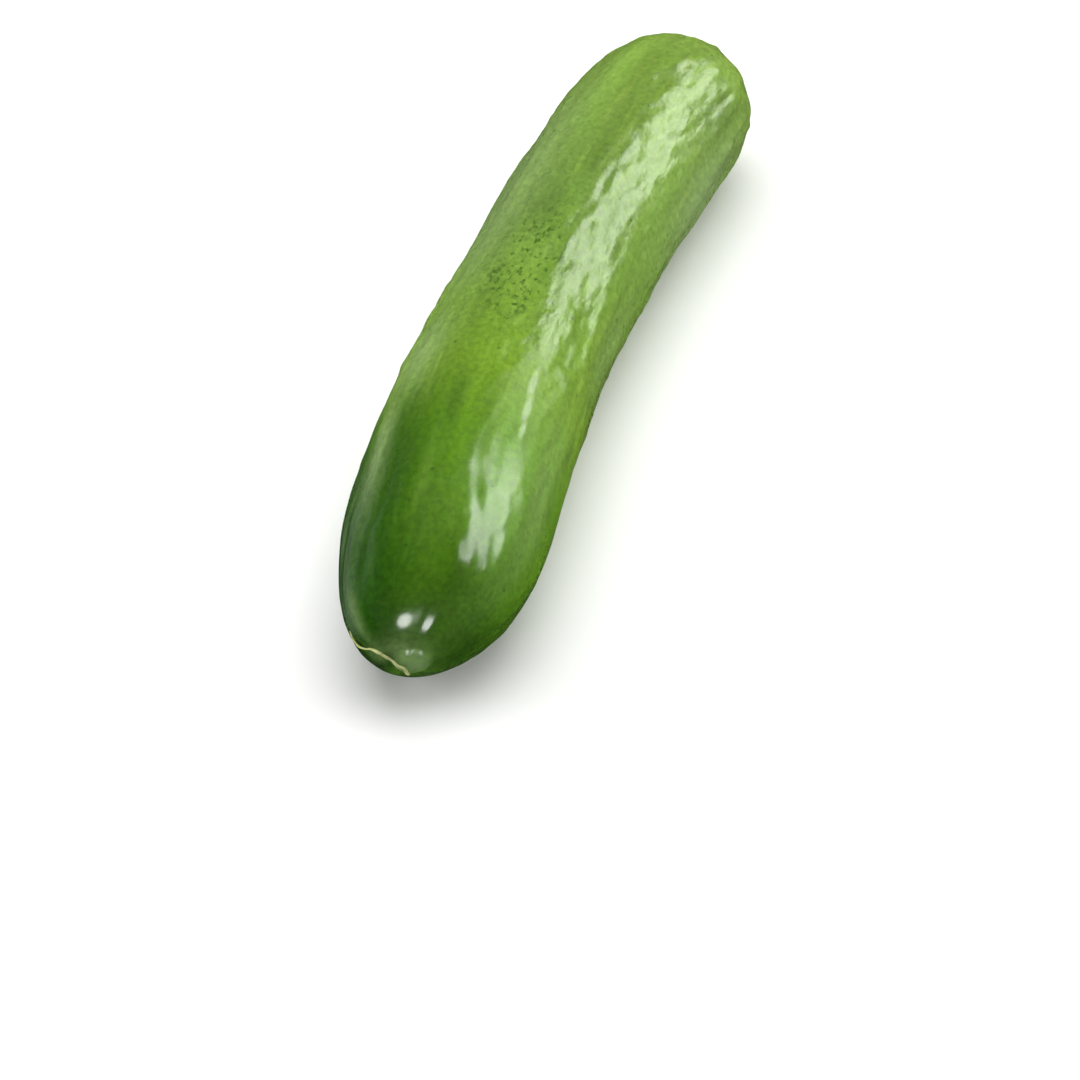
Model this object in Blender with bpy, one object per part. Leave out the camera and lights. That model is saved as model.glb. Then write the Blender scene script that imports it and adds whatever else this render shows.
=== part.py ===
"""A glossy mini cucumber, as picked and lying on its side, with the dried flower thread at its blossom end.

Units are metres and +Z is up. +X runs along the fruit from the blossom end to the stem end, and the outer
side of its bend faces +Y. The origin is under the middle of the box round both pieces, on the surface
that the fruit lies on.
"""
import math
import random

import bmesh
import bpy
import numpy as np

# Driving dimensions of the fruit
CENTRE_LINE = 0.1590       # length of the centre line from tip to tip
BEND = math.radians(23.5)  # how far the centre line turns over its length
BEND_BIAS = 0.40           # how much stronger the bend is at the blossom end than in the middle
STATION_RADII = [0.0177, 0.0179, 0.0179, 0.0169, 0.0170, 0.0170, 0.0161]   # evenly spaced, from the blossom end
BLOSSOM_CAP = 0.0300       # how far back from the tip each rounded end reaches
STEM_CAP = 0.0205
BLOSSOM_BLUNT = 2.10       # exponent of each end's outline: 2 is an ellipse, more is blunter
STEM_BLUNT = 2.35
BLOSSOM_SKEW = 0.0036      # how far each tip sits to the side of the centre line, towards +Y
STEM_SKEW = -0.0023
BLOSSOM_DROP = 0.0020      # how far the blossom tip sits below the centre line
SKEW_REACH = 0.030         # the length over which a tip moves aside
BELLY_FLAT = 0.0004        # depth of the flat that the fruit lies on

# Relief of the skin; angles and phases are in radians
LOBES = 3
LOBE_HEIGHT = 0.00022
LOBE_PHASE = 0.6
RIBS = 10
RIB_HEIGHT = 0.00016
RIB_WAVER = 0.22           # how far a rib wanders sideways round the fruit
WAVER_ALONG = (5 * math.pi, 1.0)   # phase over the skin's length and at its start, of the wander
WAVER_AROUND = (2, 0.5)            # waves round the fruit and phase, of the wander
SWELL_HEIGHT = 0.00018     # the slow ups and downs along the skin
SWELL_WAVE = (11 * math.pi, 2)     # phase over the skin's length and waves round the fruit, of the first swell
SWELL_TWIST = (4, 3, 1.3)          # the same two and a phase, of the second
RELIEF_RISE = 2.2          # how soon the relief rises from each tip, and how sharply
RELIEF_SHARPNESS = 1.5
WARTS = 70
WART_HEIGHT = 0.00026
WART_HEIGHT_RANGE = (0.4, 1.0)
WART_RADIUS = 0.0019
WART_RADIUS_RANGE = (0.7, 1.3)
WART_ZONE = (0.07, 0.93)   # the part of the skin's length that has warts
WART_STRETCH = 1.5         # how much longer a wart is along the fruit than across
BELLY = -math.pi / 2
BELLY_CALM = 0.55          # the relief dies out within this angle of the belly

# The two scars, where the stalk and the flower were
STEM_DIMPLE_RADIUS = 0.0070
STEM_DIMPLE_DEPTH = 0.0010
STEM_SCAR_RADIUS = 0.0042
STEM_SCAR_RIM = 0.00035    # height of the corky rim round the stem scar
STEM_NUB = 0.0004          # height of the nub in the middle of it
STEM_GROOVE_DEPTH = 0.00030
STEM_GROOVE_PLACE = 0.00924    # distance from the tip of the deepest part of the grooves
STEM_RIM_UNEVENNESS = 0.25
BLOSSOM_SCAR_PLACE = (-0.0019, -0.0001)   # towards +Y and upwards from the tip, along the skin
BLOSSOM_SCAR_RADIUS = 0.0022
BLOSSOM_SCAR_HEIGHT = 0.00040
BLOSSOM_RIM_UNEVENNESS = 0.3
RIM_WIDTH = 0.0009
RIM_LUMPS = 5

# The flower thread: its path runs over the skin, as steps towards +Y and upwards from the blossom tip
THREAD_PATH = [
    (-0.0013, -0.0025),
    (-0.0005, -0.0008),
    (0.0010, 0.0006),
    (0.0026, 0.0014),
    (0.0038, 0.0018),
    (0.0053, 0.0018),
    (0.0065, 0.0010),
    (0.0080, 0.0003),
    (0.0096, 0.0003),
    (0.0114, 0.0010),
]
THREAD_RADIUS = 0.0003
THREAD_GAP = 0.0003        # clear space between the thread and the skin
THREAD_SIDES = 8
THREAD_STEPS = 34

# Looks of the two pieces
SKIN_COLOUR = (0.17, 0.33, 0.045)
SKIN_ROUGHNESS = 0.28
THREAD_COLOUR = (0.62, 0.60, 0.32)
THREAD_ROUGHNESS = 0.6

# Fineness of the mesh
AROUND = 64
RINGS = 90
END_CROWDING = 1.6         # how much closer together the rings are at the tips
END_REACH = 0.009
FINE = 4000
SEED = 7
TIP_GAP = 2e-5             # how near to each tip its closing point is read
SMALL_STEP = 1e-5          # steps along and round the skin for reading its slope
SMALL_TURN = 1e-3
CUT_TOLERANCE = 1e-6


def material(name, colour, roughness):
    """Make a plain Principled material."""
    made = bpy.data.materials.new(name)
    made.use_nodes = True
    shader = made.node_tree.nodes["Principled BSDF"]
    shader.inputs["Base Color"].default_value = (*colour, 1.0)
    shader.inputs["Roughness"].default_value = roughness
    shader.inputs["Metallic"].default_value = 0.0
    return made


def smooth_between(at, values):
    """Read a smooth curve through evenly numbered values."""
    padded = np.concatenate([[2 * values[0] - values[1]], values, [2 * values[-1] - values[-2]]])
    low = np.clip(at.astype(int), 0, len(values) - 2)
    t = at - low
    a, b, c, d = padded[low], padded[low + 1], padded[low + 2], padded[low + 3]
    return b + 0.5 * t * (c - a + t * (2 * a - 5 * b + 4 * c - d + t * (3 * (b - c) + d - a)))


def body_radius(along):
    """Radius of the fruit without its ends, for a distance along the centre line."""
    return smooth_between(along / CENTRE_LINE * (len(STATION_RADII) - 1), np.array(STATION_RADII))


def cap_factor(from_tip, reach, blunt):
    """How much of the radius is left at a distance from a tip: 0 at the tip, 1 past the rounded end."""
    inside = np.clip(1 - from_tip / reach, 0, 1)
    return (1 - inside ** blunt) ** (1 / blunt)


def outline():
    """The fruit's profile in small steps: along the centre line, radius, and skin length from the tip."""
    swing = np.linspace(0, math.pi, FINE)
    along = CENTRE_LINE * (1 - np.cos(swing)) / 2
    ends = cap_factor(along, BLOSSOM_CAP, BLOSSOM_BLUNT) * cap_factor(CENTRE_LINE - along, STEM_CAP, STEM_BLUNT)
    radius = body_radius(along) * ends
    steps = np.hypot(np.diff(along), np.diff(radius))
    skin = np.concatenate([[0], np.cumsum(steps)])
    return along, radius, skin


def centre_line(along):
    """Points and headings on the bent centre line, in the fruit's own frame before it is set down."""
    t = np.linspace(0, 1, FINE)
    heading = BEND * (0.5 - t * (1 + BEND_BIAS * (1 - t)))
    step = CENTRE_LINE / (FINE - 1)
    x = np.concatenate([[0], np.cumsum(np.cos(heading[:-1]) * step)])
    y = np.concatenate([[0], np.cumsum(np.sin(heading[:-1]) * step)])
    chord = math.atan2(y[-1], x[-1])
    turned_x = x * math.cos(chord) + y * math.sin(chord)
    turned_y = y * math.cos(chord) - x * math.sin(chord)
    at = along / CENTRE_LINE
    return np.interp(at, t, turned_x), np.interp(at, t, turned_y), np.interp(at, t, heading - chord)


def base_points(skin_at, angle):
    """Smooth skin, for distances along the skin and angles round the fruit (0 is +Y, pi / 2 the top)."""
    along_all, radius_all, skin_all = outline()
    along = np.interp(skin_at, skin_all, along_all)
    radius = np.interp(skin_at, skin_all, radius_all)
    x, y, heading = centre_line(along)
    near_blossom = np.clip(1 - along / SKEW_REACH, 0, 1) ** 2
    near_stem = np.clip(1 - (CENTRE_LINE - along) / SKEW_REACH, 0, 1) ** 2
    aside = BLOSSOM_SKEW * near_blossom + STEM_SKEW * near_stem
    side_x, side_y = -np.sin(heading), np.cos(heading)
    reach = aside + radius * np.cos(angle)
    height = body_radius(along) - BELLY_FLAT - BLOSSOM_DROP * near_blossom
    return np.stack([x + reach * side_x, y + reach * side_y, height + radius * np.sin(angle)], axis=-1)


def skin_normals(skin_at, angle):
    """Outward normals of the smooth skin, by small steps along and around."""
    forward = base_points(skin_at + SMALL_STEP, angle) - base_points(skin_at - SMALL_STEP, angle)
    around = base_points(skin_at, angle + SMALL_TURN) - base_points(skin_at, angle - SMALL_TURN)
    normal = np.cross(forward, around)
    return -normal / np.linalg.norm(normal, axis=-1, keepdims=True)


def turn_from(angle, centre):
    """The smallest turn from one angle to another."""
    return np.mod(angle - centre + math.pi, 2 * math.pi) - math.pi


def place_warts(skin_length):
    """Seeded places, heights and widths of the low warts."""
    draw = random.Random(SEED)
    warts = []
    for _ in range(WARTS):
        skin_at = draw.uniform(*WART_ZONE) * skin_length
        angle = draw.uniform(-math.pi, math.pi)
        height = WART_HEIGHT * draw.uniform(*WART_HEIGHT_RANGE)
        width = WART_RADIUS * draw.uniform(*WART_RADIUS_RANGE)
        warts.append((skin_at, angle, height, width))
    return warts


def relief(skin_at, angle, radius, skin_length):
    """Height of the skin's relief above the smooth form."""
    share = skin_at / skin_length
    body = np.clip(np.sin(math.pi * share) * RELIEF_RISE, 0, 1) ** RELIEF_SHARPNESS
    waver_along = np.sin(WAVER_ALONG[0] * share + WAVER_ALONG[1])
    waver = RIB_WAVER * waver_along * np.sin(WAVER_AROUND[0] * angle + WAVER_AROUND[1])
    swell = np.sin(SWELL_WAVE[0] * share + SWELL_WAVE[1] * angle)
    swell = swell * np.sin(SWELL_TWIST[0] * share + SWELL_TWIST[1] * angle + SWELL_TWIST[2])
    height = LOBE_HEIGHT * np.cos(LOBES * angle + LOBE_PHASE) * body
    height = height + RIB_HEIGHT * np.cos(RIBS * (angle + waver)) * body
    height = height + SWELL_HEIGHT * swell * body
    for wart_at, wart_angle, wart_height, wart_width in place_warts(skin_length):
        apart = np.hypot((skin_at - wart_at) / WART_STRETCH, turn_from(angle, wart_angle) * radius)
        height = height + wart_height * np.exp(-(apart / wart_width) ** 2)
    height = height * (1 - np.exp(-(turn_from(angle, BELLY) / BELLY_CALM) ** 4))
    return height + stem_end(skin_length - skin_at, angle) + blossom_end(skin_at, angle)


def stem_end(from_tip, angle):
    """The dimple where the stalk was: a corky rim, a nub in the middle, and grooves between the ribs."""
    dimple = -STEM_DIMPLE_DEPTH * np.exp(-(from_tip / STEM_DIMPLE_RADIUS) ** 2)
    rim = STEM_SCAR_RIM * np.exp(-((from_tip - STEM_SCAR_RADIUS) / RIM_WIDTH) ** 2)
    nub = STEM_NUB * np.exp(-(from_tip / RIM_WIDTH) ** 2)
    band = np.exp(-((from_tip - STEM_GROOVE_PLACE) / STEM_SCAR_RADIUS) ** 2)
    grooves = -STEM_GROOVE_DEPTH * (1 - np.cos(RIBS * angle)) / 2 * band
    return dimple + rim * (1 + STEM_RIM_UNEVENNESS * np.cos(RIM_LUMPS * angle)) + nub + grooves


def blossom_end(from_tip, angle):
    """The small raised scar where the flower was."""
    across = from_tip * np.cos(angle) - BLOSSOM_SCAR_PLACE[0]
    upwards = from_tip * np.sin(angle) - BLOSSOM_SCAR_PLACE[1]
    ring = np.exp(-((np.hypot(across, upwards) - BLOSSOM_SCAR_RADIUS) / RIM_WIDTH) ** 2)
    lumps = np.cos(RIM_LUMPS * np.arctan2(upwards, across))
    return BLOSSOM_SCAR_HEIGHT * ring * (1 + BLOSSOM_RIM_UNEVENNESS * lumps)


def skin_points(skin_at, angle, lift=0.0):
    """Points on the skin with its relief, or above it by a lift."""
    along_all, radius_all, skin_all = outline()
    radius = np.interp(skin_at, skin_all, radius_all)
    height = relief(skin_at, angle, radius, skin_all[-1]) + lift
    return base_points(skin_at, angle) + skin_normals(skin_at, angle) * height[..., None]


def ring_places():
    """Distances along the skin of the rings, closer together at both tips."""
    skin = outline()[2]
    to_tip = np.minimum(skin, skin[-1] - skin)
    crowding = 1 + END_CROWDING * np.exp(-(to_tip / END_REACH) ** 2)
    count = np.concatenate([[0], np.cumsum(np.diff(skin) * crowding[1:])])
    return np.interp(np.linspace(0, count[-1], RINGS + 2)[1:-1], count, skin)


def make_mesh(name, points, faces):
    """Make a mesh object from points and faces."""
    mesh = bpy.data.meshes.new(name)
    mesh.from_pydata([tuple(p) for p in points], [], faces)
    made = bpy.data.objects.new(name, mesh)
    bpy.context.scene.collection.objects.link(made)
    return made


def cut_belly(made):
    """Cut the flat under the fruit and close it with one level face."""
    cut = bmesh.new()
    cut.from_mesh(made.data)
    everything = cut.verts[:] + cut.edges[:] + cut.faces[:]
    ground = {"plane_co": (0, 0, 0), "plane_no": (0, 0, -1)}
    bmesh.ops.bisect_plane(cut, geom=everything, dist=CUT_TOLERANCE, clear_outer=True, **ground)
    open_edges = [edge for edge in cut.edges if edge.is_boundary]
    for vertex in {vertex for edge in open_edges for vertex in edge.verts}:
        vertex.co.z = 0.0
    bmesh.ops.holes_fill(cut, edges=open_edges, sides=0)
    bmesh.ops.recalc_face_normals(cut, faces=cut.faces[:])
    cut.to_mesh(made.data)
    cut.free()


def fruit():
    """The fruit: rings of skin closed by a point at each tip, cut flat under its belly."""
    places = ring_places()
    angles = np.linspace(0, 2 * math.pi, AROUND, endpoint=False)
    skin_at, angle = np.meshgrid(places, angles, indexing="ij")
    rings = skin_points(skin_at, angle).reshape(-1, 3)
    skin_length = outline()[2][-1]
    tips = skin_points(np.array([TIP_GAP, skin_length - TIP_GAP]), np.array([0.0, 0.0]))
    points = np.concatenate([rings, tips])
    blossom_tip = len(rings)
    stem_tip = blossom_tip + 1
    last = (RINGS - 1) * AROUND
    faces = []
    for i in range(AROUND):
        j = (i + 1) % AROUND
        faces.append((blossom_tip, j, i))
        faces.append((stem_tip, last + i, last + j))
        for ring in range(RINGS - 1):
            low, high = ring * AROUND, (ring + 1) * AROUND
            faces.append((low + i, low + j, high + j, high + i))
    made = make_mesh("cucumber", points, faces)
    cut_belly(made)
    made.data.shade_smooth()
    made.data.materials.append(material("cucumber_skin", SKIN_COLOUR, SKIN_ROUGHNESS))
    return made


def thread():
    """The dried flower thread, a thin tube that lies along the skin from the blossom scar."""
    path = np.array(THREAD_PATH)
    at = np.linspace(0, len(path) - 1, THREAD_STEPS)
    across = smooth_between(at, path[:, 0])
    upwards = smooth_between(at, path[:, 1])
    points = skin_points(np.hypot(across, upwards), np.arctan2(upwards, across), THREAD_GAP + THREAD_RADIUS)
    curve = bpy.data.curves.new("flower_thread", "CURVE")
    curve.dimensions = "3D"
    curve.bevel_depth = THREAD_RADIUS
    curve.bevel_resolution = (THREAD_SIDES - 4) // 2
    curve.use_fill_caps = True
    spline = curve.splines.new("POLY")
    spline.points.add(len(points) - 1)
    for point, place in zip(spline.points, points):
        point.co = (*place, 1.0)
    made = bpy.data.objects.new("flower_thread", curve)
    bpy.context.scene.collection.objects.link(made)
    curve.materials.append(material("dried_thread", THREAD_COLOUR, THREAD_ROUGHNESS))
    return made


def centre_on_origin(fruit_object, thread_object):
    """Move both objects so that their common box is centred over the origin."""
    skin = np.array([vertex.co[:] for vertex in fruit_object.data.vertices])
    strand = np.array([point.co[:3] for point in thread_object.data.splines[0].points])
    low = np.minimum(skin.min(axis=0), strand.min(axis=0) - THREAD_RADIUS)
    high = np.maximum(skin.max(axis=0), strand.max(axis=0) + THREAD_RADIUS)
    middle = (low + high) / 2
    for made in (fruit_object, thread_object):
        made.location = (-middle[0], -middle[1], 0.0)


def main():
    """Clear the scene and make both pieces."""
    for old in list(bpy.data.objects):
        bpy.data.objects.remove(old, do_unlink=True)
    centre_on_origin(fruit(), thread())


main()
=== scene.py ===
import math
import random

import bpy
import numpy as np
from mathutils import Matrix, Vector


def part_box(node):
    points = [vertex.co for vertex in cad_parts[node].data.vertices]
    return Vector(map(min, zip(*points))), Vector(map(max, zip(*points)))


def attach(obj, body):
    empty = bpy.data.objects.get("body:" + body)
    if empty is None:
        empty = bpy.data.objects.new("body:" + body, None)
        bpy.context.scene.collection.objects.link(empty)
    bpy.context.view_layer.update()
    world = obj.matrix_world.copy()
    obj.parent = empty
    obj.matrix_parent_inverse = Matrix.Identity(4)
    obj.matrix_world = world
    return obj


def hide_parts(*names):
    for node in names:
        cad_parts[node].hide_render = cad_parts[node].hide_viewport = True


# The fruit's form, as in the part: metres, from the blossom end at -X to the stem end at +X
CENTRE_LINE = 0.1590
BEND = math.radians(23.5)
BEND_BIAS = 0.40
STATION_RADII = [0.0177, 0.0179, 0.0179, 0.0169, 0.0170, 0.0170, 0.0161]
BLOSSOM_CAP = 0.0300
STEM_CAP = 0.0205
BLOSSOM_BLUNT = 2.10
STEM_BLUNT = 2.35
BLOSSOM_SKEW = 0.0036
STEM_SKEW = -0.0023
BLOSSOM_DROP = 0.0020
SKEW_REACH = 0.030
BELLY_FLAT = 0.0004
BELLY = -math.pi / 2
BELLY_CALM = 0.55

# The relief that the part has too
LOBES = 3
LOBE_HEIGHT = 0.00022
LOBE_PHASE = 0.6
RIBS = 10
RIB_HEIGHT = 0.00016
RIB_WAVER = 0.22
WAVER_ALONG = (5 * math.pi, 1.0)   # phase over the skin's length and at its start, of the ribs' wander
WAVER_AROUND = (2, 0.5)            # waves round the fruit and phase, of the same
SWELL_HEIGHT = 0.00018
SWELL_WAVE = (11 * math.pi, 2)     # phase over the skin's length and waves round the fruit, of one swell
SWELL_TWIST = (4, 3, 1.3)          # the same two and a phase, of the other
RELIEF_RISE = 2.2                  # how soon the relief rises from each tip, and how sharply
RELIEF_SHARPNESS = 1.5
WARTS = 70
WART_HEIGHT = 0.00026
WART_HEIGHT_RANGE = (0.4, 1.0)
WART_RADIUS = 0.0019
WART_RADIUS_RANGE = (0.7, 1.3)
WART_ZONE = (0.07, 0.93)
WART_STRETCH = 1.5
STEM_DIMPLE_RADIUS = 0.0070
STEM_DIMPLE_DEPTH = 0.0010
STEM_SCAR_RADIUS = 0.0042
STEM_SCAR_RIM = 0.00035
STEM_NUB = 0.0004
STEM_GROOVE_DEPTH = 0.00030
STEM_GROOVE_PLACE = 0.00924
STEM_RIM_UNEVENNESS = 0.25
BLOSSOM_SCAR_PLACE = (-0.0019, -0.0001)
BLOSSOM_SCAR_RADIUS = 0.0022
BLOSSOM_SCAR_HEIGHT = 0.00040
BLOSSOM_RIM_UNEVENNESS = 0.3
RIM_WIDTH = 0.0009
RIM_LUMPS = 5

# Finer relief that only the visible skin has
BLISTERS = 2000
BLISTER_HEIGHT = 0.00018
BLISTER_RADIUS = 0.0009
BLISTER_STRETCH = 1.5
BLISTER_SEED = 11
CALM_BLOSSOM = 0.05        # near the blossom end the blisters are lower: from this share of the length
CALM_REACH = 0.35          # over this share more, and never below this share of their height
CALM_LEAST = 0.3
PIMPLES = 70
PIMPLE_HEIGHT = 0.00022
PIMPLE_RADIUS = 0.00042
PIMPLE_STRETCH = 1.0
PIMPLE_SEED = 23
BUMP_ZONE = (0.09, 0.93)
BUMP_HEIGHT_RANGE = (0.35, 1.0)
BUMP_WIDTH_RANGE = (0.6, 1.4)
BUMP_STRETCH_RANGE = (0.8, 1.6)
BUMP_REACH = 2.6           # in widths; further out a bump is too low to count
FINE_RIBS = 30
FINE_RIB_HEIGHT = 0.000035
FINE_RIB_WAVER = 1.4       # as a share of the ribs' own wander
FINE_RIB_TWIST = (3, 4)    # size and speed of a slow turn along the skin

# Long fine wrinkles, each a narrow raised line that wanders a little. The first is placed as in the
# photograph: its middle along the skin, angle, height, width and reach
WRINKLES = 26
FIRST_WRINKLE = (0.103, math.radians(107.5), 0.00026, 0.0008, 0.024)
FIRST_WRINKLE_TURN = 2.4
WRINKLE_HEIGHT = 0.00014
WRINKLE_HEIGHT_RANGE = (0.4, 1.0)
WRINKLE_WIDTH = 0.00042
WRINKLE_WIDTH_RANGE = (0.8, 1.3)
WRINKLE_REACH = 0.022
WRINKLE_REACH_RANGE = (0.5, 1.2)
WRINKLE_ZONE = (0.12, 0.88)
WRINKLE_SEED = 31
WRINKLE_WANDER = 0.035
WRINKLE_WAVE = 210.0
WRINKLE_RIPPLE = (0.4, 2.7)   # size and speed of a finer wander, as shares of the first
WRINKLE_BREAKS = (0.3, 3.3)   # how much the height comes and goes, and how fast

# The darker flank near the blossom end, partly the skin's own darker green and partly painted shade, and how
# sharply it ends round the fruit and along it
DARK_AND_SHADED_SIDE_ANGLE = math.radians(10)
DARK_AND_SHADED_SIDE_WIDTH = math.radians(72)
DARK_AND_SHADED_SIDE_REACH = 0.056
DARK_AND_SHADED_SIDE_SHARPNESS = (6, 8)

# Paler patches, partly the skin's own paler green and partly painted light on the flanks, and the patch with
# small dark marks. A patch, here and below, has a place and a reach, each along the skin and round the fruit,
# and a strength
PALE_AND_LIT_PATCHES = [
    ((0.0028, math.radians(95)), (0.0030, math.radians(80)), 0.6),
    ((0.0040, math.radians(15)), (0.0022, math.radians(38)), 0.5),
    ((0.011, math.radians(25)), (0.006, math.radians(9)), 0.35),
    ((0.043, math.radians(41)), (0.012, math.radians(8)), 0.75),
    ((0.040, math.radians(152)), (0.020, math.radians(16)), 0.4),
    ((0.134, math.radians(184)), (0.018, math.radians(28)), 1.0),
    ((0.085, math.radians(172)), (0.014, math.radians(14)), 0.4),
    ((0.066, math.radians(44)), (0.011, math.radians(18)), 0.8),
    ((0.110, math.radians(44)), (0.028, math.radians(26)), 0.85),
]
MARKS_PLACE = (0.088, math.radians(88))
MARKS_REACH = (0.016, math.radians(24))

# A narrow glossier line across the duller part of the skin
GLOSS_LINE = [
    ((0.061, math.radians(122)), (0.0040, math.radians(2.6)), 1.0),
    ((0.055, math.radians(124)), (0.0040, math.radians(2.6)), 1.0),
    ((0.050, math.radians(125)), (0.0030, math.radians(2.2)), 0.8),
]

# Soft dark smudges; the first ones are placed as in the photograph, and the first of all, at the blossom tip,
# is painted shade
SMUDGES = 34
SMUDGE_SEED = 47
SMUDGE_ZONE = (0.10, 0.92)
SMUDGE_LENGTHS = (0.002, 0.007)
SMUDGE_ANGLES = (0.03, 0.10)
SMUDGE_STRENGTHS = (0.1, 0.35)
FIRST_SMUDGES_AND_SHADE = [
    # Painted shade at the blossom tip
    ((0.010, math.radians(184)), (0.0060, math.radians(42)), 0.95),
    ((0.052, math.radians(84)), (0.0075, math.radians(5)), 0.6),
    ((0.104, math.radians(84)), (0.0060, math.radians(9)), 0.25),
    ((0.118, math.radians(95)), (0.0050, math.radians(8)), 0.2),
    ((0.147, math.radians(143)), (0.0070, math.radians(13)), 0.5),
]

# The flower thread
THREAD_PATH = [
    (-0.0013, -0.0025),
    (-0.0005, -0.0008),
    (0.0010, 0.0006),
    (0.0026, 0.0014),
    (0.0038, 0.0018),
    (0.0053, 0.0018),
    (0.0065, 0.0010),
    (0.0080, 0.0003),
    (0.0096, 0.0003),
    (0.0114, 0.0010),
]
THREAD_RADIUS = 0.00023
THREAD_TAPER = (1.15, 0.55)                    # thickness at its root, and how much of it goes, in radii
THREAD_LUMPS = [(0.12, 17, 0), (0.08, 41, 1)]  # size, speed and phase of each unevenness
THREAD_SEAT = 0.8                              # height of its middle above the skin, in radii
THREAD_RISE = 0.0003                           # further height, reached soon after the root
THREAD_RISE_SPEED = 3
THREAD_OVAL = 0.18
THREAD_TWIST = 5.0
THREAD_STEPS = 90
THREAD_SIDES = 14

# Distances from the two scars are kept as shares of this one, for the colours
SCAR_SCALE = 0.010

# Fineness, and the seed of the warts
AROUND = 264
RINGS = 350
RING_CROWDING = 0.55       # how much closer together the rings are at the tips
TIP_GAP = 2e-5             # how far before its tip each end's last point is worked out
FINE = 6000
SEED = 7

# Camera: it looks at a point on the surface in front of the fruit, as in the photograph
IMAGE_SIZE = 1080
CAMERA_AZIMUTH = 289.15
CAMERA_ELEVATION = 50.0
CAMERA_DISTANCE = 0.650
CAMERA_AIM = (-0.0327, -0.01185, 0.0)
FOCAL_PIXELS = 3587.5
SENSOR = 36.0

# The pale surroundings: brightness by the up part of a direction, and a glow round one direction
# (its right, ahead and up parts) by nearness to it
SKY = [(0.0, 0.03), (0.02, 0.36), (0.22, 0.30), (0.50, 0.16)]
RIM_GLOW_WAY = (-0.87, 0.40, -0.30)
RIM_GLOW = [(0.83, 0.0), (0.95, 0.75)]
SKY_STRENGTH = 0.5
LAMP_AIM_HEIGHT = 0.018
FLOOR_HALF = 30.0
FLOOR_DROP = 0.0002

# Greens of the skin: by the share of its length from the blossom end, then where an attribute says,
# with its greatest share and colour
SKIN_GREENS = [
    (0.0, (0.060, 0.160, 0.015)),
    (0.09, (0.055, 0.155, 0.005)),
    (0.17, (0.098, 0.240, 0.005)),
    (0.26, (0.112, 0.258, 0.008)),
    (0.35, (0.165, 0.310, 0.020)),
    (0.60, (0.178, 0.322, 0.044)),
    (0.88, (0.197, 0.338, 0.046)),
    (1.0, (0.270, 0.400, 0.070)),
]
PATCH_GREENS = [
    # Darker flank: partly the skin's own darker green, partly painted shade
    ("dark_and_shaded_side", 0.94, (0.014, 0.070, 0.001)),
    # Smudges, and the painted shade at the blossom tip
    ("smudges_and_shade", 0.8, (0.018, 0.068, 0.002)),
    # Paler patches: partly the skin's own paler green, partly painted light on the flanks
    ("pale_and_lit_patches", 1.0, (0.245, 0.375, 0.125)),
]
STREAK_GREEN = (0.27, 0.40, 0.06)
SPECK_GREEN = (0.022, 0.060, 0.006)
CRUMB_GREEN = (0.035, 0.080, 0.008)
SCAR_GREEN = (0.20, 0.37, 0.09)
CORK_DARK = (0.16, 0.14, 0.05)
CORK_PALE = (0.40, 0.37, 0.18)

# Fineness of the textures, in waves per metre, and how they are stretched along the fruit
BAND_SCALE = 75.0
STREAK_SCALE = 260.0
PALE_STREAK_SCALE = 420.0
MOTTLE_SCALE = 950.0
SPECK_SCALE = 210.0
CRUMB_SCALE = 900.0
CORK_SCALE = 1500.0
GLOSS_SCALE = 500.0
CRINKLE_SCALE = 750.0
FIBRE_SCALE = 2600.0
BAND_STRETCH = (0.16, 1.0, 1.0)
STREAK_STRETCH = (0.10, 1.0, 1.0)
CRUMB_STRETCH = (0.7, 1.0, 1.0)
CRINKLE_STRETCH = (0.6, 1.0, 1.0)
FIBRE_STRETCH = (1.0, 0.4, 1.0)


def smooth_between(at, values):
    """Read a smooth curve through evenly numbered values."""
    padded = np.concatenate([[2 * values[0] - values[1]], values, [2 * values[-1] - values[-2]]])
    low = np.clip(at.astype(int), 0, len(values) - 2)
    t = at - low
    a, b, c, d = padded[low], padded[low + 1], padded[low + 2], padded[low + 3]
    return b + 0.5 * t * (c - a + t * (2 * a - 5 * b + 4 * c - d + t * (3 * (b - c) + d - a)))


def body_radius(along):
    """Radius of the fruit without its ends, for a distance along the centre line."""
    return smooth_between(along / CENTRE_LINE * (len(STATION_RADII) - 1), np.array(STATION_RADII))


def cap_factor(from_tip, reach, blunt):
    """How much of the radius is left at a distance from a tip."""
    inside = np.clip(1 - from_tip / reach, 0, 1)
    return (1 - inside ** blunt) ** (1 / blunt)


def make_outline():
    """The fruit's profile: along the centre line, radius, and skin length from the blossom tip."""
    swing = np.linspace(0, math.pi, FINE)
    along = CENTRE_LINE * (1 - np.cos(swing)) / 2
    blossom_cap = cap_factor(along, BLOSSOM_CAP, BLOSSOM_BLUNT)
    stem_cap = cap_factor(CENTRE_LINE - along, STEM_CAP, STEM_BLUNT)
    radius = body_radius(along) * blossom_cap * stem_cap
    steps = np.hypot(np.diff(along), np.diff(radius))
    return along, radius, np.concatenate([[0], np.cumsum(steps)])


OUTLINE = make_outline()
SKIN_LENGTH = OUTLINE[2][-1]


def centre_line(along):
    """Points and headings on the bent centre line."""
    t = np.linspace(0, 1, FINE)
    heading = BEND * (0.5 - t * (1 + BEND_BIAS * (1 - t)))
    step = CENTRE_LINE / (FINE - 1)
    x = np.concatenate([[0], np.cumsum(np.cos(heading[:-1]) * step)])
    y = np.concatenate([[0], np.cumsum(np.sin(heading[:-1]) * step)])
    chord = math.atan2(y[-1], x[-1])
    turned_x = x * math.cos(chord) + y * math.sin(chord)
    turned_y = y * math.cos(chord) - x * math.sin(chord)
    at = along / CENTRE_LINE
    return np.interp(at, t, turned_x), np.interp(at, t, turned_y), np.interp(at, t, heading - chord)


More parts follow.
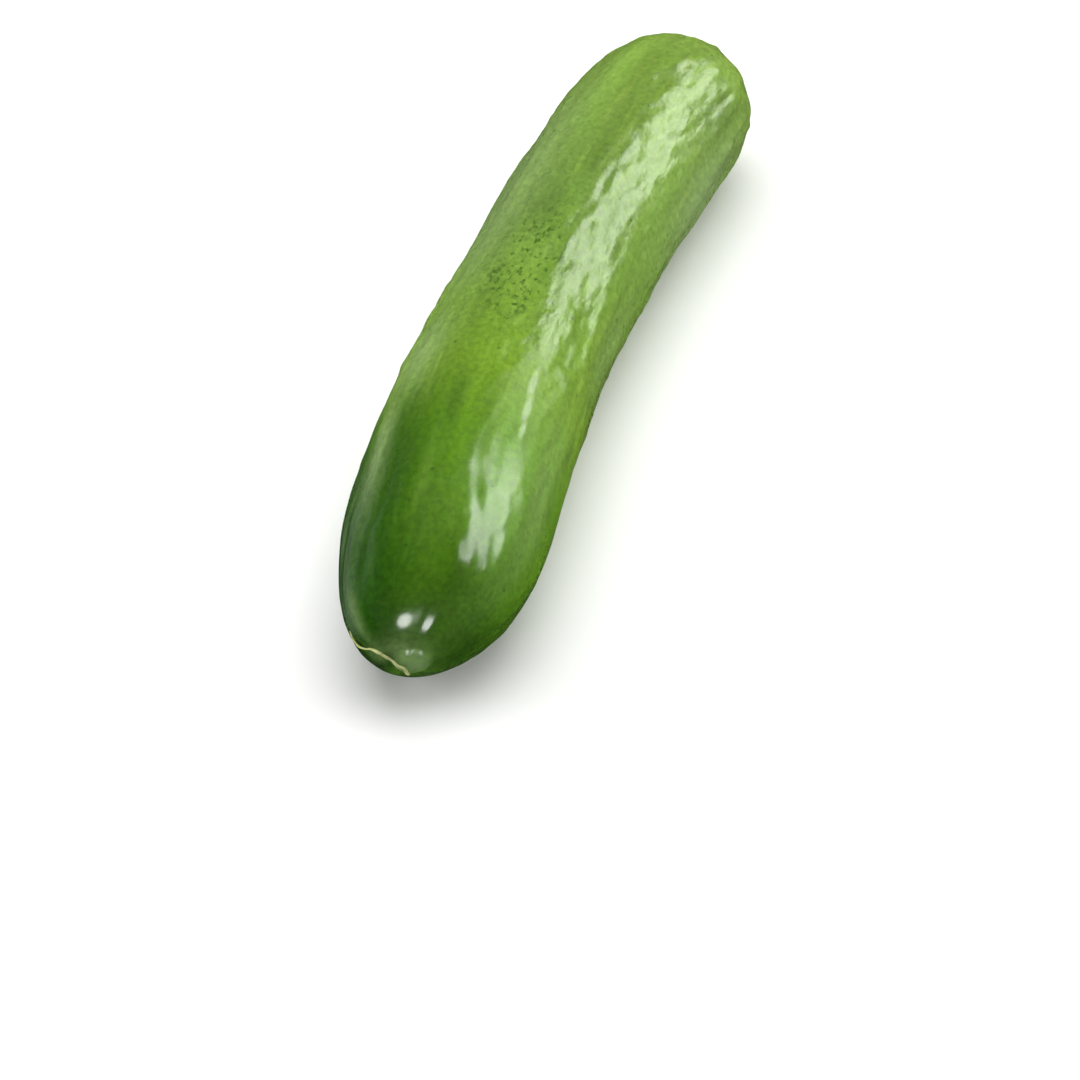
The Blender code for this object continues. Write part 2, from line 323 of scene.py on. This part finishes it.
def base_points(skin_at, angle):
    """Smooth skin, for distances along the skin and angles round the fruit (0 is +Y, 90 the top)."""
    along_all, radius_all, skin_all = OUTLINE
    along = np.interp(skin_at, skin_all, along_all)
    radius = np.interp(skin_at, skin_all, radius_all)
    x, y, heading = centre_line(along)
    near_blossom = np.clip(1 - along / SKEW_REACH, 0, 1) ** 2
    near_stem = np.clip(1 - (CENTRE_LINE - along) / SKEW_REACH, 0, 1) ** 2
    aside = BLOSSOM_SKEW * near_blossom + STEM_SKEW * near_stem
    reach = aside + radius * np.cos(angle)
    height = body_radius(along) - BELLY_FLAT - BLOSSOM_DROP * near_blossom
    side_x, side_y = -np.sin(heading), np.cos(heading)
    return np.stack([x + reach * side_x, y + reach * side_y, height + radius * np.sin(angle)], axis=-1)


def skin_normals(skin_at, angle):
    """Outward normals of the smooth skin."""
    small = 1e-5
    small_turn = 1e-3
    forward = base_points(skin_at + small, angle) - base_points(skin_at - small, angle)
    around = base_points(skin_at, angle + small_turn) - base_points(skin_at, angle - small_turn)
    normal = np.cross(forward, around)
    return -normal / np.linalg.norm(normal, axis=-1, keepdims=True)


def turn_from(angle, centre):
    """The smallest turn from one angle to another."""
    return np.mod(angle - centre + math.pi, 2 * math.pi) - math.pi


def place_warts():
    """The part's own seeded warts."""
    draw = random.Random(SEED)
    warts = []
    for _ in range(WARTS):
        skin_at = draw.uniform(*WART_ZONE) * SKIN_LENGTH
        angle = draw.uniform(-math.pi, math.pi)
        height = WART_HEIGHT * draw.uniform(*WART_HEIGHT_RANGE)
        width = WART_RADIUS * draw.uniform(*WART_RADIUS_RANGE)
        warts.append((skin_at, angle, height, width, WART_STRETCH))
    return warts


def place_bumps(count, height, width, stretch, seed, both_ways):
    """Seeded small bumps, or bumps and dents, all over the skin."""
    draw = random.Random(seed)
    bumps = []
    for _ in range(count):
        skin_at = draw.uniform(*BUMP_ZONE) * SKIN_LENGTH
        angle = draw.uniform(-math.pi, math.pi)
        sign = draw.choice([-1, 1]) if both_ways else 1
        tall = sign * height * draw.uniform(*BUMP_HEIGHT_RANGE)
        wide = width * draw.uniform(*BUMP_WIDTH_RANGE)
        bumps.append((skin_at, angle, tall, wide, stretch * draw.uniform(*BUMP_STRETCH_RANGE)))
    return bumps


def add_bumps(height, skin_at, angle, radius, bumps):
    """Add round-topped bumps to a height map, each only on the rows that it reaches."""
    rows = skin_at[:, 0]
    for at, turn, tall, width, stretch in bumps:
        near = np.abs(rows - at) < BUMP_REACH * width * stretch
        if not near.any():
            continue
        apart = np.hypot((skin_at[near] - at) / stretch, turn_from(angle[near], turn) * radius[near])
        height[near] += tall * np.exp(-(apart / width) ** 2)


def place_wrinkles():
    """The placed wrinkle and seeded others: middle, angle, height, width and reach along the skin."""
    draw = random.Random(WRINKLE_SEED)
    wrinkles = [FIRST_WRINKLE]
    for _ in range(WRINKLES):
        skin_at = draw.uniform(*WRINKLE_ZONE) * SKIN_LENGTH
        angle = draw.uniform(-math.pi, math.pi)
        height = WRINKLE_HEIGHT * draw.uniform(*WRINKLE_HEIGHT_RANGE)
        width = WRINKLE_WIDTH * draw.uniform(*WRINKLE_WIDTH_RANGE)
        wrinkles.append((skin_at, angle, height, width, WRINKLE_REACH * draw.uniform(*WRINKLE_REACH_RANGE)))
    return wrinkles


def add_wrinkles(height, skin_at, angle, radius):
    """Add long narrow raised lines to a height map."""
    for number, (at, turn, tall, width, reach) in enumerate(place_wrinkles()):
        apart_along = skin_at - at
        phase = WRINKLE_WAVE * apart_along
        path = turn + WRINKLE_WANDER * np.sin(phase + number)
        if number == 0:
            path = path + FIRST_WRINKLE_TURN * apart_along
        path = path + WRINKLE_WANDER * WRINKLE_RIPPLE[0] * np.sin(WRINKLE_RIPPLE[1] * phase + 2 * number)
        apart = turn_from(angle, path) * radius
        broken = 1 - WRINKLE_BREAKS[0] * (1 - np.sin(WRINKLE_BREAKS[1] * phase + 5 * number))
        height += tall * broken * np.exp(-(apart / width) ** 2 - (apart_along / reach) ** 4)


def stem_end(from_tip, angle):
    """The dimple where the stalk was: a corky rim, a nub, and grooves between the ribs."""
    dimple = -STEM_DIMPLE_DEPTH * np.exp(-(from_tip / STEM_DIMPLE_RADIUS) ** 2)
    rim = STEM_SCAR_RIM * np.exp(-((from_tip - STEM_SCAR_RADIUS) / RIM_WIDTH) ** 2)
    nub = STEM_NUB * np.exp(-(from_tip / RIM_WIDTH) ** 2)
    band = np.exp(-((from_tip - STEM_GROOVE_PLACE) / STEM_SCAR_RADIUS) ** 2)
    grooves = -STEM_GROOVE_DEPTH * (1 - np.cos(RIBS * angle)) / 2 * band
    return dimple + rim * (1 + STEM_RIM_UNEVENNESS * np.cos(RIM_LUMPS * angle)) + nub + grooves


def blossom_scar_place(from_tip, angle):
    """Distance and direction from the middle of the blossom scar."""
    across = from_tip * np.cos(angle) - BLOSSOM_SCAR_PLACE[0]
    upwards = from_tip * np.sin(angle) - BLOSSOM_SCAR_PLACE[1]
    return np.hypot(across, upwards), np.arctan2(upwards, across)


def blossom_end(from_tip, angle):
    """The small raised scar where the flower was."""
    apart, way = blossom_scar_place(from_tip, angle)
    ring = np.exp(-((apart - BLOSSOM_SCAR_RADIUS) / RIM_WIDTH) ** 2)
    return BLOSSOM_SCAR_HEIGHT * ring * (1 + BLOSSOM_RIM_UNEVENNESS * np.cos(RIM_LUMPS * way))


def relief(skin_at, angle):
    """Height of the skin above the smooth form, for a grid of places."""
    radius = np.interp(skin_at, OUTLINE[2], OUTLINE[1])
    share = skin_at / SKIN_LENGTH
    body = np.clip(np.sin(math.pi * share) * RELIEF_RISE, 0, 1) ** RELIEF_SHARPNESS
    waver_along = np.sin(WAVER_ALONG[0] * share + WAVER_ALONG[1])
    waver = RIB_WAVER * waver_along * np.sin(WAVER_AROUND[0] * angle + WAVER_AROUND[1])
    fine_turn = FINE_RIB_TWIST[0] * np.sin(FINE_RIB_TWIST[1] * share)
    swell = np.sin(SWELL_WAVE[0] * share + SWELL_WAVE[1] * angle)
    swell = swell * np.sin(SWELL_TWIST[0] * share + SWELL_TWIST[1] * angle + SWELL_TWIST[2])
    height = LOBE_HEIGHT * np.cos(LOBES * angle + LOBE_PHASE) * body
    height += RIB_HEIGHT * np.cos(RIBS * (angle + waver)) * body
    height += FINE_RIB_HEIGHT * np.cos(FINE_RIBS * (angle + FINE_RIB_WAVER * waver) + fine_turn) * body
    height += SWELL_HEIGHT * swell * body
    add_bumps(height, skin_at, angle, radius, place_warts())
    fine = np.zeros_like(height)
    blisters = place_bumps(BLISTERS, BLISTER_HEIGHT, BLISTER_RADIUS, BLISTER_STRETCH, BLISTER_SEED, True)
    add_bumps(fine, skin_at, angle, radius, blisters)
    height += fine * np.clip((share - CALM_BLOSSOM) / CALM_REACH, CALM_LEAST, 1)
    pimples = place_bumps(PIMPLES, PIMPLE_HEIGHT, PIMPLE_RADIUS, PIMPLE_STRETCH, PIMPLE_SEED, False)
    add_bumps(height, skin_at, angle, radius, pimples)
    add_wrinkles(height, skin_at, angle, radius)
    height *= 1 - np.exp(-(turn_from(angle, BELLY) / BELLY_CALM) ** 4)
    return height + stem_end(SKIN_LENGTH - skin_at, angle) + blossom_end(skin_at, angle)


def skin_points(skin_at, angle, lift=0.0):
    """Points on the skin with its relief."""
    height = relief(skin_at, angle) + lift
    return base_points(skin_at, angle) + skin_normals(skin_at, angle) * height[..., None]


def link(name, mesh):
    """Make an object of a mesh."""
    made = bpy.data.objects.new(name, mesh)
    bpy.context.scene.collection.objects.link(made)
    return made


def add_attribute(mesh, name, kind, values):
    """Store values on the mesh's points."""
    layer = mesh.attributes.new(name, kind, "POINT")
    field = "vector" if kind == "FLOAT_VECTOR" else "value"
    layer.data.foreach_set(field, np.ascontiguousarray(values, np.float32).ravel())


def patch(skin_at, angle, place, reach):
    """Nearness to a place on the skin, from 1 at the place to 0 well outside its reach."""
    along = (skin_at - place[0]) / reach[0]
    around = turn_from(angle, place[1]) / reach[1]
    return np.exp(-along ** 2 - around ** 2)


def place_smudges_and_shade():
    """The placed soft dark smudges, the first of them painted shade at the blossom tip, and seeded others:
    place, reach and strength.
    """
    draw = random.Random(SMUDGE_SEED)
    smudges_and_shade = list(FIRST_SMUDGES_AND_SHADE)
    for _ in range(SMUDGES):
        place = (draw.uniform(*SMUDGE_ZONE) * SKIN_LENGTH, draw.uniform(-math.pi, math.pi))
        reach = (draw.uniform(*SMUDGE_LENGTHS), draw.uniform(*SMUDGE_ANGLES))
        smudges_and_shade.append((place, reach, draw.uniform(*SMUDGE_STRENGTHS)))
    return smudges_and_shade


def skin_faces():
    """Faces between the rings, and fans to the two tips."""
    blossom_tip = RINGS * AROUND
    stem_tip = blossom_tip + 1
    last_ring = blossom_tip - AROUND
    faces = []
    for i in range(AROUND):
        j = (i + 1) % AROUND
        faces.append((blossom_tip, j, i))
        faces.append((stem_tip, last_ring + i, last_ring + j))
        for ring in range(RINGS - 1):
            start, after = ring * AROUND, (ring + 1) * AROUND
            faces.append((start + i, start + j, after + j, after + i))
    return faces


def add_skin_attributes(mesh, skin_at, angle):
    """Store the places and patches that the skin's colours and gloss follow."""
    radius = np.interp(skin_at, OUTLINE[2], OUTLINE[1])
    straight = np.stack([skin_at, radius * np.cos(angle), radius * np.sin(angle)], axis=-1)
    add_attribute(mesh, "straight", "FLOAT_VECTOR", straight)
    add_attribute(mesh, "share", "FLOAT", skin_at / SKIN_LENGTH)
    add_attribute(mesh, "stem_distance", "FLOAT", (SKIN_LENGTH - skin_at) / SCAR_SCALE)
    add_attribute(mesh, "scar_distance", "FLOAT", blossom_scar_place(skin_at, angle)[0] / SCAR_SCALE)
    # The darker flank near the blossom end, partly painted shade
    side = np.exp(-(turn_from(angle, DARK_AND_SHADED_SIDE_ANGLE) / DARK_AND_SHADED_SIDE_WIDTH) ** DARK_AND_SHADED_SIDE_SHARPNESS[0])
    end = np.exp(-(skin_at / DARK_AND_SHADED_SIDE_REACH) ** DARK_AND_SHADED_SIDE_SHARPNESS[1])
    add_attribute(mesh, "dark_and_shaded_side", "FLOAT", side * end)
    add_attribute(mesh, "marks", "FLOAT", patch(skin_at, angle, MARKS_PLACE, MARKS_REACH))
    # The paler patches are partly painted light, and the first smudge is painted shade
    placed = {"pale_and_lit_patches": PALE_AND_LIT_PATCHES, "smudges_and_shade": place_smudges_and_shade(), "gloss_line": GLOSS_LINE}
    for name, patches in placed.items():
        strongest = np.zeros_like(skin_at)
        for place, reach, strength in patches:
            strongest = np.maximum(strongest, strength * patch(skin_at, angle, place, reach))
        add_attribute(mesh, name, "FLOAT", strongest)


def make_skin():
    """The visible skin: a fine closed mesh with its relief, set in the middle of its node's box."""
    share = np.linspace(0, 1, RINGS + 2)[1:-1]
    crowded = share - RING_CROWDING * np.sin(2 * math.pi * share) / (2 * math.pi)
    angles = np.linspace(0, 2 * math.pi, AROUND, endpoint=False)
    skin_at, angle = np.meshgrid(crowded * SKIN_LENGTH, angles, indexing="ij")
    rings = skin_points(skin_at, angle)
    tips_at = np.array([[TIP_GAP], [SKIN_LENGTH - TIP_GAP]])
    tips = skin_points(tips_at, np.zeros((2, 1)))
    points = np.concatenate([rings.reshape(-1, 3), tips.reshape(-1, 3)])
    low, high = points.min(axis=0), points.max(axis=0)
    node_low, node_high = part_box("cucumber")
    shift_x = (node_low.x + node_high.x - low[0] - high[0]) / 2
    shift_y = (node_low.y + node_high.y - low[1] - high[1]) / 2
    shift = np.array([shift_x, shift_y, 0])
    points = points + shift
    points[:, 2] = np.maximum(points[:, 2], 0.0)

    mesh = bpy.data.meshes.new("cucumber_skin")
    mesh.from_pydata(points.tolist(), [], skin_faces())
    mesh.shade_smooth()
    all_at = np.concatenate([skin_at.ravel(), tips_at.ravel()])
    all_angle = np.concatenate([angle.ravel(), [0.0, 0.0]])
    add_skin_attributes(mesh, all_at, all_angle)
    return link("cucumber_skin", mesh), shift


def make_thread(shift):
    """The dried flower thread, lying on the skin, with a slightly flattened and tapering strand."""
    path = np.array(THREAD_PATH)
    at = np.linspace(0, len(path) - 1, THREAD_STEPS)
    across, upwards = smooth_between(at, path[:, 0]), smooth_between(at, path[:, 1])
    skin_at, angle = np.hypot(across, upwards), np.arctan2(upwards, across)
    share = np.linspace(0, 1, THREAD_STEPS)
    lumps = sum(size * np.sin(speed * share + phase) for size, speed, phase in THREAD_LUMPS)
    thick = THREAD_RADIUS * (THREAD_TAPER[0] - THREAD_TAPER[1] * share + lumps)
    lift = THREAD_SEAT * thick + THREAD_RISE * np.clip(share * THREAD_RISE_SPEED, 0, 1)
    centre = []
    for i in range(THREAD_STEPS):
        centre.append(skin_points(skin_at[i:i + 1, None], angle[i:i + 1, None], lift[i])[0])
    centre = np.concatenate(centre) + shift
    points = []
    for i in range(THREAD_STEPS):
        ahead = Vector(centre[min(i + 1, THREAD_STEPS - 1)] - centre[max(i - 1, 0)]).normalized()
        out = Vector(skin_normals(skin_at[i:i + 1], angle[i:i + 1])[0])
        side = ahead.cross(out).normalized()
        out = side.cross(ahead)
        twist = THREAD_TWIST * share[i]
        for k in range(THREAD_SIDES):
            a = 2 * math.pi * k / THREAD_SIDES
            wide = 1 + THREAD_OVAL * math.cos(2 * a + twist)
            from_middle = (side * math.cos(a) + out * math.sin(a)) * float(thick[i]) * wide
            points.append(Vector(centre[i]) + from_middle)
    faces = []
    for i in range(THREAD_STEPS - 1):
        for k in range(THREAD_SIDES):
            m = (k + 1) % THREAD_SIDES
            low, high = i * THREAD_SIDES, (i + 1) * THREAD_SIDES
            faces.append((low + k, low + m, high + m, high + k))
    faces.append(tuple(range(THREAD_SIDES))[::-1])
    faces.append(tuple((THREAD_STEPS - 1) * THREAD_SIDES + k for k in range(THREAD_SIDES)))
    mesh = bpy.data.meshes.new("flower_thread_strand")
    mesh.from_pydata([p[:] for p in points], [], faces)
    mesh.shade_smooth()
    return link("flower_thread_strand", mesh)


class Nodes:
    """Short helpers for building a material's nodes."""

    def __init__(self, name):
        self.material = bpy.data.materials.new(name)
        self.material.use_nodes = True
        self.tree = self.material.node_tree
        self.shader = self.tree.nodes["Principled BSDF"]

    def add(self, kind, **settings):
        """Add a node with its settings."""
        node = self.tree.nodes.new(kind)
        for key, value in settings.items():
            setattr(node, key, value)
        return node

    def join(self, source, target):
        """Link an output to an input."""
        self.tree.links.new(source, target)

    def attribute(self, name, output="Fac"):
        """Read a value stored on the mesh."""
        return self.add("ShaderNodeAttribute", attribute_name=name).outputs[output]

    def stretched(self, source, scale):
        """Scale a vector by a different amount each way."""
        node = self.add("ShaderNodeMapping")
        node.inputs["Scale"].default_value = scale
        self.join(source, node.inputs["Vector"])
        return node.outputs["Vector"]

    def noise(self, vector, scale, detail=3.0, roughness=0.5):
        """A noise texture's value."""
        node = self.add("ShaderNodeTexNoise")
        node.inputs["Scale"].default_value = scale
        node.inputs["Detail"].default_value = detail
        node.inputs["Roughness"].default_value = roughness
        self.join(vector, node.inputs["Vector"])
        return node.outputs["Fac"]

    def ramp(self, value, stops):
        """A colour or grey for each value."""
        node = self.add("ShaderNodeValToRGB")
        while len(node.color_ramp.elements) < len(stops):
            node.color_ramp.elements.new(0.5)
        for element, (place, colour) in zip(node.color_ramp.elements, stops):
            element.position = place
            element.color = (*colour, 1.0) if isinstance(colour, tuple) else (colour, colour, colour, 1.0)
        self.join(value, node.inputs["Fac"])
        return node.outputs["Color"]

    def blend(self, factor, first, second, kind="MIX"):
        """Mix two colours by a factor; each may be a link, a number or a colour."""
        node = self.add("ShaderNodeMix", data_type="RGBA", blend_type=kind)
        for socket, value in ((node.inputs[0], factor), (node.inputs[6], first), (node.inputs[7], second)):
            if isinstance(value, (int, float)):
                socket.default_value = value if socket.type == "VALUE" else (value, value, value, 1.0)
            elif isinstance(value, tuple):
                socket.default_value = (*value, 1.0)
            else:
                self.join(value, socket)
        return node.outputs[2]


def patched_green(n, share):
    """Green along the skin's length, with the darker flank and its painted shade, the smudges and the painted
    shade at the blossom tip, and the paler patches with their painted light.
    """
    colour = n.ramp(share, SKIN_GREENS)
    for name, strongest, green in PATCH_GREENS:
        colour = n.blend(n.ramp(n.attribute(name), [(0.0, 0.0), (1.0, strongest)]), colour, green)
    return colour


def streaked(n, straight, share, colour):
    """Broad lengthwise bands, finer dark streaks, and pale ones that fade towards the blossom end."""
    band = n.noise(n.stretched(straight, BAND_STRETCH), BAND_SCALE, 2.0, 0.5)
    colour = n.blend(1.0, colour, n.ramp(band, [(0.34, 0.86), (0.62, 1.08)]), "MULTIPLY")
    streak = n.noise(n.stretched(straight, STREAK_STRETCH), STREAK_SCALE, 4.0, 0.6)
    colour = n.blend(1.0, colour, n.ramp(streak, [(0.36, 0.78), (0.52, 0.90), (0.68, 1.0)]), "MULTIPLY")
    pale = n.noise(n.stretched(straight, STREAK_STRETCH), PALE_STREAK_SCALE, 3.0, 0.55)
    pale = n.ramp(pale, [(0.52, 0.0), (0.75, 0.35)])
    pale = n.blend(1.0, pale, n.ramp(share, [(0.12, 0.15), (0.35, 1.0)]), "MULTIPLY")
    return n.blend(pale, colour, STREAK_GREEN)


def speckled(n, straight, colour):
    """Fine mottling, scattered specks, and crumb-like dark marks in their patch."""
    mottle = n.ramp(n.noise(straight, MOTTLE_SCALE, 4.0, 0.6), [(0.35, 0.72), (0.62, 1.10)])
    colour = n.blend(0.8, colour, mottle, "MULTIPLY")
    speck_cells = n.add("ShaderNodeTexVoronoi", feature="F1")
    speck_cells.inputs["Scale"].default_value = SPECK_SCALE
    n.join(straight, speck_cells.inputs["Vector"])
    speck = n.ramp(speck_cells.outputs["Distance"], [(0.045, 1.0), (0.085, 0.0)])
    colour = n.blend(n.blend(1.0, speck, 0.75, "MULTIPLY"), colour, SPECK_GREEN)
    crumbs = n.noise(n.stretched(straight, CRUMB_STRETCH), CRUMB_SCALE, 3.0, 0.7)
    crumbs = n.ramp(crumbs, [(0.54, 0.0), (0.64, 1.0)])
    marked = n.blend(1.0, n.ramp(n.attribute("marks"), [(0.15, 0.0), (0.6, 0.85)]), crumbs, "MULTIPLY")
    return n.blend(marked, colour, CRUMB_GREEN)


def cork_colour(n, straight):
    """Grainy cork with darker rings, for the stem scar."""
    grain = n.ramp(n.noise(straight, CORK_SCALE, 4.0, 0.7), [(0.3, CORK_DARK), (0.7, CORK_PALE)])
    rings = n.ramp(n.attribute("stem_distance"), [
        (0.04, 1.1),
        (0.12, 0.55),
        (0.22, 1.0),
        (0.32, 0.65),
        (0.41, 1.2),
    ])
    return n.blend(1.0, grain, rings, "MULTIPLY")


def set_gloss(n, straight, share, scar, cork):
    """A glossy skin, glossiest at the blossom end and dull in a band across it and on the two scars."""
    rough = n.ramp(n.noise(straight, GLOSS_SCALE, 4.0, 0.6), [(0.3, 0.23), (0.7, 0.35)])
    rough = n.blend(n.ramp(share, [(0.22, 0.0), (0.30, 0.9), (0.40, 0.0)]), rough, 0.50)
    gloss_line = n.ramp(n.attribute("gloss_line"), [(0.2, 0.0), (0.7, 1.0)])
    rough = n.blend(gloss_line, rough, 0.22)
    rough = n.blend(n.ramp(share, [(0.07, 1.0), (0.22, 0.0)]), rough, 0.14)
    rough = n.blend(scar, rough, 0.55)
    rough = n.blend(cork, rough, 0.8)
    n.join(rough, n.shader.inputs["Roughness"])
    gloss = n.ramp(share, [(0.22, 0.5), (0.27, 0.2), (0.36, 0.2), (0.41, 0.5)])
    n.join(n.blend(gloss_line, gloss, 0.5), n.shader.inputs["Specular IOR Level"])


def set_crinkle(n, straight, share):
    """A very fine crinkle in the skin, which fades towards the blossom end."""
    bump = n.add("ShaderNodeBump")
    bump.inputs["Strength"].default_value = 0.8
    bump.inputs["Distance"].default_value = 0.00018
    crinkle = n.noise(n.stretched(straight, CRINKLE_STRETCH), CRINKLE_SCALE, 3.0, 0.5)
    calm_end = n.ramp(share, [(0.10, 0.0), (0.22, 0.4), (0.40, 1.0)])
    n.join(n.blend(1.0, crinkle, calm_end, "MULTIPLY"), bump.inputs["Height"])
    n.join(bump.outputs["Normal"], n.shader.inputs["Normal"])


def skin_material():
    """Glossy waxy cucumber skin, with a corky scar at the stem end and a pale one at the blossom end."""
    n = Nodes("cucumber_skin_wax")
    straight = n.attribute("straight", "Vector")
    share = n.attribute("share")
    colour = speckled(n, straight, streaked(n, straight, share, patched_green(n, share)))
    cork = n.ramp(n.attribute("stem_distance"), [(0.40, 1.0), (0.49, 0.0)])
    colour = n.blend(cork, colour, cork_colour(n, straight))
    scar = n.ramp(n.attribute("scar_distance"), [(0.12, 1.0), (0.38, 0.0)])
    colour = n.blend(n.blend(1.0, scar, 0.75, "MULTIPLY"), colour, SCAR_GREEN)
    n.join(colour, n.shader.inputs["Base Color"])
    set_gloss(n, straight, share, scar, cork)
    set_crinkle(n, straight, share)
    n.shader.inputs["IOR"].default_value = 1.45
    n.shader.inputs["Subsurface Weight"].default_value = 0.12
    n.shader.inputs["Subsurface Radius"].default_value = (0.0015, 0.0022, 0.0006)
    n.shader.inputs["Subsurface Scale"].default_value = 1.0
    return n.material


def thread_material():
    """Dry straw-coloured fibre."""
    n = Nodes("dried_thread_fibre")
    place = n.add("ShaderNodeTexCoord").outputs["Object"]
    fibre = n.noise(n.stretched(place, FIBRE_STRETCH), FIBRE_SCALE, 4.0, 0.65)
    colour = n.ramp(fibre, [(0.3, (0.26, 0.28, 0.08)), (0.5, (0.44, 0.48, 0.18)), (0.72, (0.60, 0.64, 0.34))])
    n.join(colour, n.shader.inputs["Base Color"])
    n.join(n.ramp(fibre, [(0.3, 0.45), (0.7, 0.7)]), n.shader.inputs["Roughness"])
    n.shader.inputs["Subsurface Weight"].default_value = 0.2
    n.shader.inputs["Subsurface Radius"].default_value = (0.0006, 0.0006, 0.0003)
    n.shader.inputs["Subsurface Scale"].default_value = 1.0
    return n.material


def plain_material(name, colour, roughness):
    """A plain material for the floor."""
    n = Nodes(name)
    n.shader.inputs["Base Color"].default_value = (*colour, 1.0)
    n.shader.inputs["Roughness"].default_value = roughness
    return n.material


def make_floor():
    """A wide pale floor."""
    half = FLOOR_HALF
    corners = [(-half, -half, 0), (half, -half, 0), (half, half, 0), (-half, half, 0)]
    mesh = bpy.data.meshes.new("floor")
    mesh.from_pydata(corners, [], [(0, 1, 2, 3)])
    floor = link("floor", mesh)
    floor.location.z = -FLOOR_DROP
    mesh.materials.append(plain_material("pale_floor", (0.90, 0.90, 0.89), 0.7))
    floor.visible_glossy = False


def view_frame():
    """Unit vectors to the camera's right and straight ahead along the floor."""
    a = math.radians(CAMERA_AZIMUTH)
    return Vector((math.cos(a), math.sin(a), 0)), Vector((-math.sin(a), math.cos(a), 0))


def add_light(name, toward, distance, width, height, power, mirrored=True, lights_up=True, shape="RECTANGLE"):
    """An area light in a direction given as right, ahead and up from the fruit, aimed at it."""
    right, ahead = view_frame()
    way = (right * toward[0] + ahead * toward[1] + Vector((0, 0, toward[2]))).normalized()
    lamp = bpy.data.lights.new(name, "AREA")
    lamp.shape = shape
    lamp.size = width
    lamp.size_y = height
    lamp.energy = power
    made = bpy.data.objects.new(name, lamp)
    made.location = way * distance + Vector((0, 0, LAMP_AIM_HEIGHT))
    made.rotation_mode = "QUATERNION"
    made.rotation_quaternion = way.to_track_quat("Z", "Y")
    made.visible_camera = False
    made.visible_glossy = mirrored
    made.visible_diffuse = lights_up
    bpy.context.scene.collection.objects.link(made)


def add_glow(tree, way, stops):
    """Brightness of the surroundings by nearness to a direction."""
    place = tree.nodes.new("ShaderNodeTexCoord")
    dot = tree.nodes.new("ShaderNodeVectorMath")
    dot.operation = "DOT_PRODUCT"
    dot.inputs[1].default_value = way
    glow = tree.nodes.new("ShaderNodeValToRGB")
    while len(glow.color_ramp.elements) < len(stops):
        glow.color_ramp.elements.new(0.5)
    for element, (at, level) in zip(glow.color_ramp.elements, stops):
        element.position = at
        element.color = (level, level, level, 1.0)
    tree.links.new(place.outputs["Generated"], dot.inputs[0])
    tree.links.new(dot.outputs["Value"], glow.inputs["Fac"])
    return glow.outputs["Color"]


def make_lights():
    """Two window lamps at the right, three broad soft lamps, a low front pair, and a pale sky."""
    add_light("window", (0.84, 0.53, 0.58), 0.9, 0.45, 0.50, 6.0, lights_up=False)
    add_light("side_window", (1.0, -0.11, 0.70), 0.9, 0.64, 0.38, 7.6, lights_up=False)
    add_light("overhead", (0.0, 0.20, 1.0), 2.2, 2.4, 2.4, 61.0, mirrored=False)
    add_light("left_fill", (-1.0, 0.15, 0.45), 4.0, 3.0, 2.4, 105.0, mirrored=False)
    add_light("right_fill", (1.0, 0.30, 0.40), 4.0, 3.0, 2.4, 110.0, mirrored=False)
    add_light("front_left", (-0.20, -0.925, 0.27), 0.8, 0.25, 0.20, 2.2, lights_up=False, shape="ELLIPSE")
    add_light("front_right", (0.22, -0.96, 0.09), 0.8, 0.14, 0.16, 1.0, lights_up=False, shape="ELLIPSE")
    world = bpy.data.worlds.new("studio")
    world.use_nodes = True
    background = world.node_tree.nodes["Background"]
    right, ahead = view_frame()
    way = right * RIM_GLOW_WAY[0] + ahead * RIM_GLOW_WAY[1] + Vector((0, 0, RIM_GLOW_WAY[2]))
    both = world.node_tree.nodes.new("ShaderNodeMix")
    both.data_type = "RGBA"
    both.blend_type = "ADD"
    both.inputs[0].default_value = 1.0
    world.node_tree.links.new(add_glow(world.node_tree, Vector((0, 0, 1)), SKY), both.inputs[6])
    world.node_tree.links.new(add_glow(world.node_tree, way.normalized(), RIM_GLOW), both.inputs[7])
    world.node_tree.links.new(both.outputs[2], background.inputs["Color"])
    background.inputs["Strength"].default_value = SKY_STRENGTH
    bpy.context.scene.world = world
    bpy.context.scene.view_settings.view_transform = "Standard"


def make_camera():
    """The camera at the photograph's angle."""
    right, ahead = view_frame()
    e = math.radians(CAMERA_ELEVATION)
    back = -ahead * math.cos(e) + Vector((0, 0, math.sin(e)))
    data = bpy.data.cameras.new("camera")
    data.sensor_width = SENSOR
    data.lens = SENSOR * FOCAL_PIXELS / IMAGE_SIZE
    data.clip_start = 0.05
    data.clip_end = 20.0
    camera = bpy.data.objects.new("camera", data)
    camera.location = Vector(CAMERA_AIM) + back * CAMERA_DISTANCE
    camera.rotation_mode = "QUATERNION"
    camera.rotation_quaternion = back.to_track_quat("Z", "Y")
    bpy.context.scene.collection.objects.link(camera)
    bpy.context.scene.camera = camera


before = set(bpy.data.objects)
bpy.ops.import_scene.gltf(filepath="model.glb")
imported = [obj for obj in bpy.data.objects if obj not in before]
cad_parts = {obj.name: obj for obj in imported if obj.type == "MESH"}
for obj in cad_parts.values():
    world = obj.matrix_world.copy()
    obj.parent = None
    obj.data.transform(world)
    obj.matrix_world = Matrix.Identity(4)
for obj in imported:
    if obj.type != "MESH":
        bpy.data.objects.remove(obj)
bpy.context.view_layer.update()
make_camera()
make_floor()
make_lights()

skin, shift = make_skin()
skin.data.materials.append(skin_material())
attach(skin, "root")
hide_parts("cucumber")

strand = make_thread(shift)
strand.data.materials.append(thread_material())
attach(strand, "root")
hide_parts("flower_thread")
